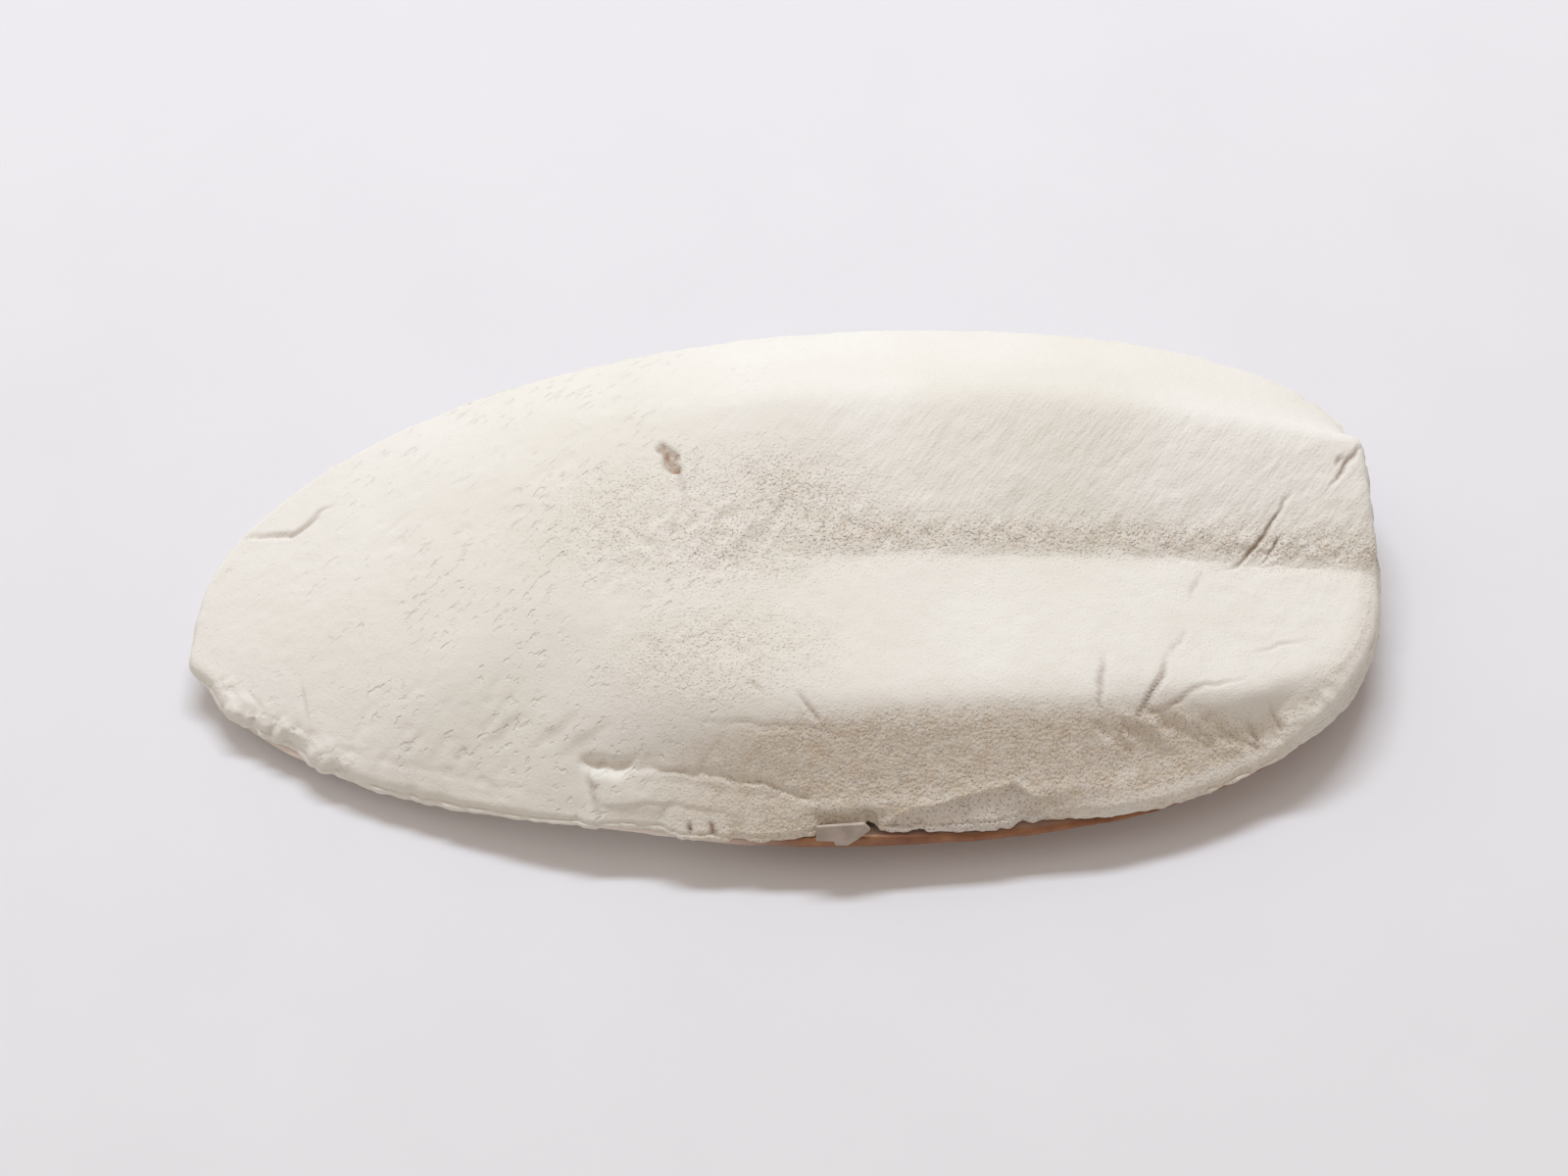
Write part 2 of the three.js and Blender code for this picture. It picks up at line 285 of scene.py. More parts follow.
# %% [markdown]
# ## Cracks
# Cracks follow broken lines. Each could be cut with a boolean, but a dent worked out from the
# distance to the line is cleaner and can run out to nothing at both ends. Each has its places in
# millimetres, then half its width and its depth.

# %% Cracks and dents
CRACKS = {
    "far corner slit": (((68.9, 11.6), (66.8, 9.2), (64.8, 6.3)), 0.38, 0.66),
    "far corner splinter": (((66.9, 10.4), (65.5, 8.6)), 0.35, 0.45),
    "long slit": (((60.0, 5.8), (57.4, 2.2), (55.6, -0.2), (51.6, -3.6)), 0.36, 0.60),
    "slit beside it": (((58.7, 1.2), (57.4, -0.6), (56.0, -2.3)), 0.32, 0.40),
    "faint slit": (((48.6, -3.8), (46.6, -7.6)), 0.34, 0.30),
    "terrace crack": (((45.8, -11.8), (44.4, -14.0), (43.3, -15.6)), 0.30, 0.32),
    "shoulder crack": (((43.4, -15.2), (42.3, -18.0), (40.6, -20.2), (39.0, -22.4)), 0.36, 0.70),
    "second shoulder crack": (((35.6, -15.6), (35.3, -18.4), (34.7, -21.8)), 0.34, 0.55),
    "shoulder ledge": (((39.4, -22.0), (42.8, -21.2), (46.2, -19.4), (52.0, -18.0)), 0.36, 0.30),
    "bank hairline": (((52.4, -21.6), (53.2, -23.2), (53.8, -25.2)), 0.35, 0.30),
    "bank hairline two": (((55.0, -20.0), (56.6, -22.4)), 0.35, 0.25),
    "end line": (((53.4, -14.4), (56.4, -13.5), (59.6, -12.7)), 0.35, 0.22),
    "tip crack": (
        ((-63.4, 9.6), (-60.4, 9.5), (-57.9, 9.0), (-56.2, 10.2), (-54.8, 12.0), (-53.0, 12.3)),
        0.42, 0.55,
    ),
    "plate break": (((-23.8, -23.8), (-23.0, -26.0), (-22.6, -28.8)), 0.45, 0.45),
    "plate gap": (((-12.2, -29.6), (-11.9, -32.0)), 0.32, 0.90),
    "plate gap two": (((-9.9, -29.9), (-9.4, -32.3)), 0.32, 0.85),
    "bank lip": (((-11.2, -21.4), (-6.8, -21.7), (-2.2, -22.3), (6.2, -23.6)), 0.34, 0.20),
    "bank scratch": (((0.5, -19.2), (1.8, -21.0), (3.2, -22.6)), 0.36, 0.40),
    "shoulder scratch": (((-5.2, -17.4), (-3.3, -19.5)), 0.36, 0.25),
    "long margin dent": (((-31.0, -17.3), (-35.5, -20.0)), 0.95, 0.20),
    "long margin dent two": (((-24.9, -18.5), (-30.1, -21.3)), 0.95, 0.22),
    "long margin dent three": (((-20.9, -20.0), (-26.8, -22.5)), 0.95, 0.22),
    "margin line": (((-50.0, -18.8), (-39.4, -22.1), (-28.5, -26.0)), 0.70, 0.08),
    "margin nick": (((-37.2, -20.0), (-38.9, -21.2)), 0.36, 0.30),
    "thread scratch": (((-56.7, -9.6), (-56.3, -12.0), (-55.8, -14.8)), 0.30, 0.05),
    "pit scar": (((-12.2, 9.4), (-11.6, 7.0), (-11.4, 4.2)), 0.50, 0.25),
}
CRACK_WANDER = 0.5


def crack_dent(x, y, places, half_width, depth):
    """A V that gets shallower with distance from the line and with the square of nearness to an end."""
    lengths = [math.dist(a, b) for a, b in zip(places[:-1], places[1:])]
    nearest = np.full(x.shape, np.inf)
    way = np.zeros(x.shape)
    passed = 0.0
    for (ax, ay), (bx, by), length in zip(places[:-1], places[1:], lengths):
        run_x, run_y = (bx - ax) / length, (by - ay) / length
        t = np.clip((x - ax) * run_x + (y - ay) * run_y, 0.0, length)
        away = np.hypot(x - ax - t * run_x, y - ay - t * run_y)
        way = np.where(away < nearest, (passed + t) / sum(lengths), way)
        nearest = np.minimum(nearest, away)
        passed += length
    taper = 1.0 - (2.0 * way - 1.0) ** 2
    width = half_width * (0.55 + 0.45 * taper)
    return -depth * (0.25 + 0.75 * taper) * np.clip(1.0 - nearest / width, 0.0, 1.0) ** 0.8


def all_cracks(x, y):
    """The deepest of all the cracks at each place, with the lines made to wander a little."""
    wander_x = x + CRACK_WANDER * rough(x, y, 1.9, 31)
    wander_y = y + CRACK_WANDER * rough(x, y, 1.9, 35)
    return np.minimum.reduce([crack_dent(wander_x, wander_y, *crack) for crack in CRACKS.values()])


print(len(CRACKS), "cracks and scratches")

# %% [markdown]
# ## The split margin, the flake patch and the pit
# The front margin is a plate of older layers that has split from the bank behind it. It starts at a
# break about a third of the way from the tip and thins out to the right. Behind its upper edge the
# chalk has fallen out and left a dark hollow. Further right a thin flake has gone from the margin,
# which leaves a smooth patch with a sharp upper edge. On the far slope there is one ragged pit.

# %% Split margin plate, flake patch and pit
LEDGE_X, LEDGE_Y, LEDGE_SLOPE = -22.4, -24.4, -0.20
LEDGE_BOW, BOW_X, BOW_HALF = 1.2, -9.0, 14.0
LEDGE_WANDER, PATCH_WANDER, PIT_RAGGEDNESS = 0.45, 0.35, 0.9
PLATE_RISE, LAYER_STEP, THIN_LINE, THIN_LINE_HALF = 0.14, 0.16, 0.30, 0.22
HOLLOW_DEPTH, HOLLOW_ROUGHNESS, HOLLOW_BEHIND, HOLLOW_HALF = 1.2, 2.0, 0.6, 0.75
PATCH_FROM_X, PATCH_PEAK_X, PATCH_FROM_Y, PATCH_PEAK_Y = 9.0, 24.8, -31.3, -28.2
PATCH_CLIMB, PATCH_FALL, PATCH_DEPTH = 0.195, 0.62, 0.50
PATCH_LIP, PATCH_LIP_HALF = 0.14, 0.3
PIT_X, PIT_Y, PIT_LENGTH, PIT_WIDTH, PIT_DEPTH = -12.9, 11.0, 2.9, 1.15, 0.55
PIT_COS, PIT_SIN = 0.52, 0.85


def margin_plate(x, y):
    """Height step along the ledge line: a hollow behind it, a sharp edge and a raised plate below."""
    bow = LEDGE_BOW * np.clip(1.0 - ((x - BOW_X) / BOW_HALF) ** 2, 0.0, 1.0)
    ledge = LEDGE_Y + LEDGE_SLOPE * (x - LEDGE_X) + bow
    behind = y - ledge + LEDGE_WANDER * rough(x, y, 3.4, 41)
    hollow = stretch(x, -25.0, -23.2, -20.5, -15.0) * bell((behind - HOLLOW_BEHIND) / HOLLOW_HALF)
    hollow = hollow * (HOLLOW_DEPTH + HOLLOW_ROUGHNESS * rough(x, y, 2.0, 43))
    thin_line = THIN_LINE * stretch(x, -19, -14, -1, 5) * bell(behind / THIN_LINE_HALF)
    plate = PLATE_RISE * stretch(x, -24, -23, -4, 6) * stretch(-behind, -0.1, 0.3, 1.5, 5.0)
    layer = LAYER_STEP * stretch(x, -23, -21, -12, -4) * ease(-behind, 2.9, 3.2)
    return plate - layer - hollow - thin_line


def flake_patch(x, y):
    """Recess below a slanting line that climbs to a peak and drops again, with a slight lip above it."""
    climb = PATCH_FROM_Y + PATCH_CLIMB * (x - PATCH_FROM_X)
    fall = PATCH_PEAK_Y - PATCH_FALL * (x - PATCH_PEAK_X)
    below = np.where(x < PATCH_PEAK_X, climb, fall) - y + PATCH_WANDER * rough(x, y, 2.0, 45)
    inside = stretch(x, PATCH_FROM_X, 11.0, 27.4, 28.0)
    lip = PATCH_LIP * bell((below + PATCH_LIP_HALF) / PATCH_LIP_HALF)
    height = lip - PATCH_DEPTH * ease(below, -0.05, 0.25)
    return inside * height, inside * ease(below, 0.0, 0.4)


def pit(x, y):
    """An oval dent with a ragged edge, longest along the slope."""
    along = PIT_COS * (x - PIT_X) - PIT_SIN * (y - PIT_Y)
    across = PIT_SIN * (x - PIT_X) + PIT_COS * (y - PIT_Y)
    reach = np.hypot(along / PIT_LENGTH, across / PIT_WIDTH)
    return 1.0 - ease(reach + PIT_RAGGEDNESS * rough(x, y, 1.0, 51), 0.4, 1.0)


print("pit is", 2 * PIT_LENGTH, "mm long at", (PIT_X, PIT_Y))

# %% [markdown]
# ## The skin
# The chalk isn't the same all over. It is crinkled in the middle, crumbly beside the groove and on the
# front bank, finely lined on the far side and flaky at the front shoulder. Each kind has a zone, and
# both the relief and the material use the same zones, so colour and shape agree.

# %% Zones, relief and masks of the skin
SCALY_OVAL, CORE_OVAL = (-8.0, 3.0, 20.0, 8.5), (-11.0, 1.0, 13.0, 4.2)
FRONT_SCALY_OVAL = (-9.0, -14.0, 14.0, 6.0)
FRONT_SCALY = 0.65
SCALE_TURN, SHOULDER_TURN = math.radians(41), math.radians(-30)
LONG_SWELL, SHORT_SWELL, FINE_ROUGHNESS = 0.36, 0.16, 0.07
SCALES, CORE_SCALES, CREASES = 0.15, 0.24, 0.12
GROOVE_CRUMBS, BANK_CRUMBS, FAR_LINES, SHOULDER_FLAKES = 0.42, 0.12, 0.11, 0.9
RIM_CRUMBS, FINE_RIM_CRUMBS, CREVICES = 0.45, 0.4, 0.3


def oval(x, y, middle_x, middle_y, reach_x, reach_y):
    """Bell of the squared way from the middle of an oval: level inside it, and nothing well outside."""
    return bell(((x - middle_x) / reach_x) ** 2 + ((y - middle_y) / reach_y) ** 2)


def skin_zones(x, y, share, station):
    """Share of each kind of skin: ovals, bells about a line, or ramps along the bone and across it."""
    off_groove = y - groove_y(x)
    scaly = oval(x, y, *SCALY_OVAL) + FRONT_SCALY * oval(x, y, *FRONT_SCALY_OVAL)
    far_side = ease(x, -6, 12) * ease(off_groove, 0.0, 2.0)
    bank = station["front"] * ease(x, -24, 4) * ease(share - station["shoulder"], -0.12, 0.0)
    margin = ease(x, 28, 36) * ease(share, 0.93, 0.97)
    on_shoulder = bell((share - station["shoulder"] - 0.01) / 0.045)
    return {
        "scaly": scaly * (0.55 + 0.9 * grain(x, y, 7.0, 63)),
        "core": oval(x, y, *CORE_OVAL),
        "far_side": far_side * (1.0 - ease(y - ridge_y(x), -3.0, 0.5)),
        "beside_groove": ease(x, -2, 14) * bell((off_groove - 2.3) / 2.1),
        # Near the right end and on the rim margin the bank zone fades, and with it its crumbs and the
        # painted shade of its creamy tint.
        "bank": bank * (1.0 - 0.7 * ease(x, 50, 62)) * (1.0 - 0.5 * margin),
        "flaky": station["front"] * stretch(x, 30, 38, 58, 66) * on_shoulder,
        "rim_crumbs": station["crumbs"] * ease(share, 0.82, 0.92),
    }


def skin_relief(x, y, zones):
    """Heights in millimetres: swells and fine roughness everywhere, and in each zone its own kind."""
    along, across = turned(x, y, SCALE_TURN)
    flake_along, flake_across = turned(x, y, SHOULDER_TURN)
    folds = 1.0 - np.abs(2.0 * grain(along * 0.55, across, 0.95, 64) - 1.0)
    folds = folds + 0.7 * rough(along * 0.6, across, 1.2, 66)
    creases = ease(grain(along * 0.42, across, 0.85, 68), 0.64, 0.86) * ease(-x, -6, 14)
    creases = creases * ease(grain(x, y, 9.0, 69), 0.30, 0.62) * (1.0 - 0.7 * ease(-x, 44, 60))
    crevices = 1.0 - ease(np.abs(grain(x, y, 2.3, 83) - 0.5), 0.0, 0.08)
    crumbs = RIM_CRUMBS * rough(x, y, 3.0, 79) + FINE_RIM_CRUMBS * rough(x, y, 1.3, 85)
    height = LONG_SWELL * (grain(x, y, 17.0, 61) - 0.5) + SHORT_SWELL * (grain(x, y, 6.5, 62) - 0.5)
    height = height + (SCALES * zones["scaly"] + CORE_SCALES * zones["core"]) * (folds - 0.6)
    height = height + GROOVE_CRUMBS * zones["beside_groove"] * rough(x, y, 1.25, 71)
    height = height + BANK_CRUMBS * zones["bank"] * rough(x, y, 1.1, 74)
    height = height + FAR_LINES * zones["far_side"] * rough(along * 0.4, across, 0.9, 76)
    height = height + SHOULDER_FLAKES * zones["flaky"] * rough(flake_along * 0.35, flake_across, 0.9, 87)
    height = height + FINE_ROUGHNESS * rough(x, y, 1.3, 77) - CREASES * creases
    return height + zones["rim_crumbs"] * (crumbs - CREVICES * crevices)


def skin_masks(x, zones):
    """Shares 0 to 1 that tell the material where the chalk is crumbly, creamy (partly painted shade on
    the front bank), lined or scuffed.
    """
    groove, bank, scaly = zones["beside_groove"], zones["bank"], zones["scaly"]
    crumbly = np.clip(0.9 * groove + 0.85 * bank + 0.6 * scaly + 0.12, 0.0, 1.0)
    return {
        "crumbly": crumbly,
        # Creamy tint: the chalk's own colour beside the groove and in the crinkles; on the steep front
        # bank it is strongest and partly painted shade, darker and warmer.
        "cream_and_bank_shade": np.clip(0.5 * groove + 0.9 * bank + 0.3 * scaly + 0.08, 0.0, 1.0),
        "growth_lines": zones["far_side"],
        "scuffed": ease(-x, -10, 10) * (1.0 - 0.5 * ease(-x, 44, 60)) * (1.0 - bank),
        "gritty": np.maximum(0.25 + 0.45 * ease(x, 4, 20), crumbly),
    }


print("scales lie along", round(math.degrees(SCALE_TURN)), "degrees")

# %% [markdown]
# ## From a grid to a closed mesh
# Each piece is a grid of points: columns go round the outline and rows go from one middle line to
# another. The first and last rows fold onto themselves, because a column on the front and its partner
# on the far side start at the same place. Giving those partners one number closes the seam.

# %% Closed grid mesh
def surface_normals(points):
    """Cross product of the steps along the rows and round the columns, brought to length one."""
    down = np.gradient(points, axis=0)
    around = np.roll(points, -1, axis=1) - np.roll(points, 1, axis=1)
    normal = np.cross(down, around)
    normal[0] = (0.0, 0.0, 1.0)
    normal[-1] = (0.0, 0.0, -1.0)
    return normal / np.maximum(np.linalg.norm(normal, axis=2, keepdims=True), 1e-9)


def closed_grid_mesh(name, points, masks):
    """Quads between the rows and columns of a grid; partner points of the end rows share a number."""
    rows, columns = points.shape[:2]
    number = np.arange(rows * columns).reshape(rows, columns)
    partner = np.minimum(np.arange(columns), -np.arange(columns) % columns)
    number[0] = number[0, partner]
    number[-1] = number[-1, partner]
    here, beyond = number[:-1], number[1:]
    quads = np.stack([here, beyond, np.roll(beyond, -1, -1), np.roll(here, -1, -1)], axis=-1)
    kept, quads = np.unique(quads, return_inverse=True)
    mesh = bpy.data.meshes.new(name)
    mesh.from_pydata((points.reshape(-1, 3)[kept] * MM).tolist(), [], quads.reshape(-1, 4).tolist())
    mesh.polygons.foreach_set("use_smooth", np.ones(len(mesh.polygons), dtype=bool))
    for mask_name, mask in masks.items():
        layer = mesh.attributes.new(mask_name, "FLOAT", "POINT")
        layer.data.foreach_set("value", mask.reshape(-1)[kept].astype(np.float32))
    mesh.update()
    piece = bpy.data.objects.new(name, mesh)
    bpy.context.scene.collection.objects.link(piece)
    print(name, "has", 2 * len(mesh.polygons), "triangles")
    return piece


# %% [markdown]
# ## The chalk
# The chalk is everything that is white: the belly, the nibbled edge and the snapped face. It is one
# surface. The rows start on the groove line, cross the belly, go down the edge and close underneath,
# inside the shield. The relief then moves each point along its own outward direction.

# %% Build the chalk
CHALK_AROUND, BELLY_ROWS, EDGE_ROWS, CLOSING_ROWS = 840, 98, 10, 2
ROW_POWER = 1.35
GROOVE_START_X, GROOVE_END_X = -50.0, 56.0
FOOT_CURVE, RIDGE_ROUNDING = 1.12, 0.03
RIM_BULGE, END_BULGE, EDGE_ROUGHNESS = 0.35, 0.8, 0.30
INNER_SHARE, MIDDLE_HEIGHT = 0.93, 6.0
# How much darker the thread scratch and the cracks are painted; a crack gets darker with its depth.
THREAD_STAIN, CRACK_DARKENING = 3.5, 0.9


def chalk_stations():
    """Rim stations with the worn edge, and the place on the groove line that each column starts from."""
    turn = turns(CHALK_AROUND)
    station = rim_stations(turn)
    wear, crumbs = rim_wear(station)
    spine_x = mix(GROOVE_START_X, GROOVE_END_X, (1.0 - np.cos(turn)) / 2.0)
    station.update({
        "wear": wear, "crumbs": crumbs,
        "edge_x": station["x"] + wear * station["out_x"],
        "edge_y": station["y"] + wear * station["out_y"],
        "spine_x": spine_x, "spine_y": groove_y(spine_x),
    })
    return station


def fall_share(share, shelf_share, station):
    """How much of the belly's height is left: a dome at the tip, then a bank in front, a roof behind."""
    x, spine_y = station["x"], station["spine_y"]
    on_bank = np.clip(share / (1.0 - shelf_share), 0.0, 1.0)
    dome = 1.0 - on_bank ** station["dome"]
    bank = (1.0 - soft_ramp(on_bank, station["shoulder"], station["rounding"])) ** FOOT_CURVE
    ridge_share = (ridge_y(x) - spine_y) / np.maximum(station["y"] - spine_y, 1e-3)
    roof = 1.0 - soft_ramp(share, np.clip(ridge_share, 0.0, 1.05), RIDGE_ROUNDING)
    front_fall = mix(dome, bank, ease(x, -34, -12))
    far_fall = mix(dome, roof, ease(x, -34, 6))
    return mix(far_fall, front_fall, station["front"])


def belly_rows(share, station):
    """Rows from the groove line to the rim, where the surface rolls over in a quarter circle."""
    near_rim = station["wear"] * ease(share, 0.90, 1.0)
    x = mix(station["spine_x"], station["x"], share) + near_rim * station["out_x"]
    y = mix(station["spine_y"], station["y"], share) + near_rim * station["out_y"]
    reach = np.hypot(station["edge_x"] - station["spine_x"], station["edge_y"] - station["spine_y"])
    shelf_share = station["shelf"] / reach
    on_shelf = np.clip((1.0 - share) / np.maximum(shelf_share, 1e-6), 0.0, 1.0)
    low = station["rim_top"] + station["shelf_rise"] * on_shelf
    over = np.clip(1.0 - (1.0 - share) * reach / station["roll"], 0.0, 1.0)
    rolled = station["roll"] * (1.0 - np.sqrt(1.0 - over ** 2))
    height = mix(low, belly_height(x, y), fall_share(share, shelf_share, station))
    return np.stack([x, y, height - rolled], axis=-1)


def edge_rows(station):
    """Rows down the edge, straight from the rim to its foot and bulging by half a sine wave."""
    way = np.linspace(0.0, 1.0, EDGE_ROWS + 1)[1:, None]
    bulge = mix(RIM_BULGE, END_BULGE, station["ends"]) * np.sin(np.pi * way)
    return np.stack([
        station["edge_x"] + bulge * station["out_x"],
        station["edge_y"] + bulge * station["out_y"],
        mix(station["rim_top"] - station["roll"], station["foot"], way),
    ], axis=-1)


def closing_rows(station):
    """Two rows inside the shield: one just inside the foot of the edge and one on the middle line."""
    spine_x, spine_y = station["spine_x"], station["spine_y"]
    inner_x = mix(spine_x, station["edge_x"], INNER_SHARE)
    inner_y = mix(spine_y, station["edge_y"], INNER_SHARE)
    inner = np.stack([inner_x, inner_y, station["foot"]], axis=-1)
    middle = np.stack([spine_x, spine_y, np.full_like(spine_x, MIDDLE_HEIGHT)], axis=-1)
    return np.stack([inner, middle])


def chalk_points():
    """All rows, each point moved outwards by its relief, and the masks for the material."""
    station = chalk_stations()
    share = 1.0 - (1.0 - np.linspace(0.0, 1.0, BELLY_ROWS)[:, None]) ** ROW_POWER
    points = np.concatenate([belly_rows(share, station), edge_rows(station), closing_rows(station)])
    share = np.concatenate([share, np.ones((EDGE_ROWS + CLOSING_ROWS, 1))])
    row = np.arange(len(points))[:, None]
    on_edge = (row >= BELLY_ROWS) & (row < BELLY_ROWS + EDGE_ROWS)
    x, y, z = points[..., 0], points[..., 1], points[..., 2]

    zones = skin_zones(x, y, share, station)
    patch, patch_mask = flake_patch(x, y)
    cracks = all_cracks(x, y)
    pit_mask = pit(x, y)
    relief = skin_relief(x, y, zones) + margin_plate(x, y) + patch + cracks - PIT_DEPTH * pit_mask
    relief = np.where(on_edge, EDGE_ROUGHNESS * rough(station["walk"], z, 1.5, 81), relief)
    relief[-CLOSING_ROWS:] = 0.0

    speckle = pit_mask * (0.2 + 0.9 * grain(x, y, 0.6, 53))
    thread = -THREAD_STAIN * crack_dent(x, y, *CRACKS["thread scratch"])
    masks = skin_masks(x, zones)
    # This mask darkens the chalk: speckles in the pit, a line on the thread scratch, and the cracks, the
    # more the deeper they are.
    masks["stain"] = np.clip(speckle + thread - CRACK_DARKENING * cracks * ~on_edge, 0.0, 1.0)
    masks["end_layers"] = station["ends"] * on_edge
    masks["flake"] = patch_mask
    return points + relief[..., None] * surface_normals(points), masks


chalk_grid, chalk_masks = chalk_points()
chalk = closed_grid_mesh("chalk_belly", chalk_grid, chalk_masks)
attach(chalk, "root")
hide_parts("cuttlebone")

# %% [markdown]
# ## The back shield
# Under the chalk lies the hard shield, a thin dished plate with a horny amber margin that shows as a
# brown line below the white edge. It is a second closed grid: up the inside, over the lip and back
# underneath to the flat patch that the bone rests on.

# %% Build the shield
SHIELD_AROUND, LIP_ROWS, UNDER_ROWS = 480, 9, 44
INNER_SHARES, SHIELD_THICKNESS = (0.0, 0.4, 0.7, 0.9), 1.0
KEEL_Y, KEEL_START_X, KEEL_END_X = -3.0, -36.0, 46.0
REST_SHARE, SHIELD_CURVE = 0.32, 1.6
LIP_WEAR, LIP_OUT, LIP_IN, LIP_ROUND = 0.12, 0.15, -0.25, 0.35
LIP_OVERLAP, TIP_LIP, MIDDLE_LIP = 0.25, 0.3, 0.8
SHIELD_GRAINS = 0.16


def shield_points():
    """Inner rows, a rounded lip and under rows whose height is the lip's foot times a power of share."""
    turn = turns(SHIELD_AROUND)
    station = rim_stations(turn)
    x, front = station["x"], station["front"]
    middle = front * stretch(x, -22, 2, 52, 66)
    lip_out = LIP_WEAR * rough(station["walk"], 0.0, 2.4, 91) + mix(LIP_IN, LIP_OUT, middle)
    lip_height = TIP_LIP + MIDDLE_LIP * ease(x, -40, 0) * (1.0 - 0.7 * ease(x, 22, 50))
    lip_height = lip_height + WORN_RISE * station["worn"] - station["thick"]
    lip_top = station["foot"] + LIP_OVERLAP
    lip_foot = station["foot"] - lip_height
    keel_x = mix(KEEL_START_X, KEEL_END_X, (1.0 - np.cos(turn)) / 2.0)

    def lip_row(way):
        """One row of the lip, from its top to its foot, pushed out by a power of half a sine wave."""
        out = lip_out - LIP_ROUND + LIP_ROUND * np.sin(np.pi * way) ** 0.6
        edge_x = x + out * station["out_x"]
        edge_y = station["y"] + out * station["out_y"]
        return np.stack([edge_x, edge_y, mix(lip_top, lip_foot, way)], axis=-1)

    def under_row(share, lift):
        """One row under the bone, on the straight line from the keel to the foot of the lip."""
        climb = np.clip((share - REST_SHARE) / (1.0 - REST_SHARE), 0.0, 1.0) ** SHIELD_CURVE
        foot_x = x + (lip_out - LIP_ROUND) * station["out_x"]
        foot_y = station["y"] + (lip_out - LIP_ROUND) * station["out_y"]
        return np.stack([
            mix(keel_x, foot_x, share),
            mix(KEEL_Y, foot_y, share),
            lip_foot * climb + lift,
        ], axis=-1)

    under_shares = np.linspace(1.0, 0.0, UNDER_ROWS + 1)[1:]
    inner = [under_row(share, SHIELD_THICKNESS) for share in INNER_SHARES]
    lip = [lip_row(way) for way in np.linspace(0.0, 1.0, LIP_ROWS)]
    outer = [under_row(share, 0.0) for share in under_shares]
    points = np.stack([*inner, *lip, *outer])

    share = np.concatenate([np.zeros(len(inner)), np.ones(LIP_ROWS), under_shares])[:, None]
    is_outer = np.arange(len(points))[:, None] >= len(inner) + LIP_ROWS
    off_table = stretch(share, REST_SHARE + 0.02, 0.5, 0.86, 0.97)
    grains = SHIELD_GRAINS * rough(points[..., 0], points[..., 1], 2.2, 93)
    relief = np.where(is_outer, grains * off_table, 0.0)
    horn = ease(share, 0.80, 0.96) * front * ease(x, -16, 2)
    return points + relief[..., None] * surface_normals(points), {"horn": horn}


shield_grid, shield_masks = shield_points()
shield = closed_grid_mesh("back_shield", shield_grid, shield_masks)
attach(shield, "root")

# %% [markdown]
# ## The loose flake
# A thin grey flake of older chalk is stuck in the bite of the front rim, turned up to the front. It has
# straight broken sides, so its outline is a list of corners. A grid from its middle line over the face,
# down the broken edge and back underneath makes it a closed chip.

# %% Build the loose flake
FLAKE_X, FLAKE_Y, FLAKE_Z = 5.2, -32.05, 6.7
FLAKE_TURN, FLAKE_THICKNESS, FLAKE_AROUND = math.radians(64), 0.5, 110
FLAKE_SPINE_HALF, FLAKE_ROUGHNESS = 2.4, 0.10
FLAKE_CORNERS = (
    (-3.1, 0.0), (-3.1, -0.6), (-1.1, -0.8), (-0.9, -1.4), (0.4, -1.5),
    (3.1, 0.7), (2.4, 1.6), (-0.4, 1.5), (-3.1, 1.4),
)
FLAKE_ROW_SHARES = (0.0, 0.35, 0.7, 0.94, 1.0, 1.0, 0.94, 0.0)
FLAKE_ROW_LIFTS = (0.5, 0.5, 0.5, 0.5, 0.35, -0.35, -0.5, -0.5)


def flake_points():
    """Corners joined by straight sides, shrunk towards the middle line, and tipped about the x axis."""
    turn = 2.0 * np.pi * np.arange(FLAKE_AROUND) / FLAKE_AROUND
    sides = np.array(FLAKE_CORNERS + FLAKE_CORNERS[:1])
    place = np.linspace(0.0, len(FLAKE_CORNERS), FLAKE_AROUND, endpoint=False)
    edge_along = np.interp(place, np.arange(len(sides)), sides[:, 0])
    edge_up = np.interp(place, np.arange(len(sides)), sides[:, 1])
    share = np.array(FLAKE_ROW_SHARES)[:, None]
    lift = FLAKE_THICKNESS * np.array(FLAKE_ROW_LIFTS)[:, None]
    along = mix(-FLAKE_SPINE_HALF * np.cos(turn), edge_along, share)
    up = share * edge_up
    lift = lift + FLAKE_ROUGHNESS * rough(along, up, 1.4, 97) * ease(lift, 0.0, 0.2)
    return np.stack([
        FLAKE_X + along,
        FLAKE_Y + up * math.cos(FLAKE_TURN) - lift * math.sin(FLAKE_TURN),
        FLAKE_Z + up * math.sin(FLAKE_TURN) + lift * math.cos(FLAKE_TURN),
    ], axis=-1)


loose_flake = closed_grid_mesh("loose_flake", flake_points(), {})
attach(loose_flake, "root")

# %% [markdown]
# ## Materials
# Every colour is given as it looks on screen, as a hex value, and turned to linear light by one
# function. One more function adds a node with its settings and links, and a few short ones make the
# steps that come back in every material, so each material reads as a list.

# %% Material tools
def linear(hex_colour):
    """Screen colour to linear light: the usual two-part curve for each of red, green and blue."""
    parts = np.array([int(hex_colour[i:i + 2], 16) for i in (1, 3, 5)]) / 255.0
    light = np.where(parts <= 0.04045, parts / 12.92, ((parts + 0.055) / 1.055) ** 2.4)
    return (*light.tolist(), 1.0)


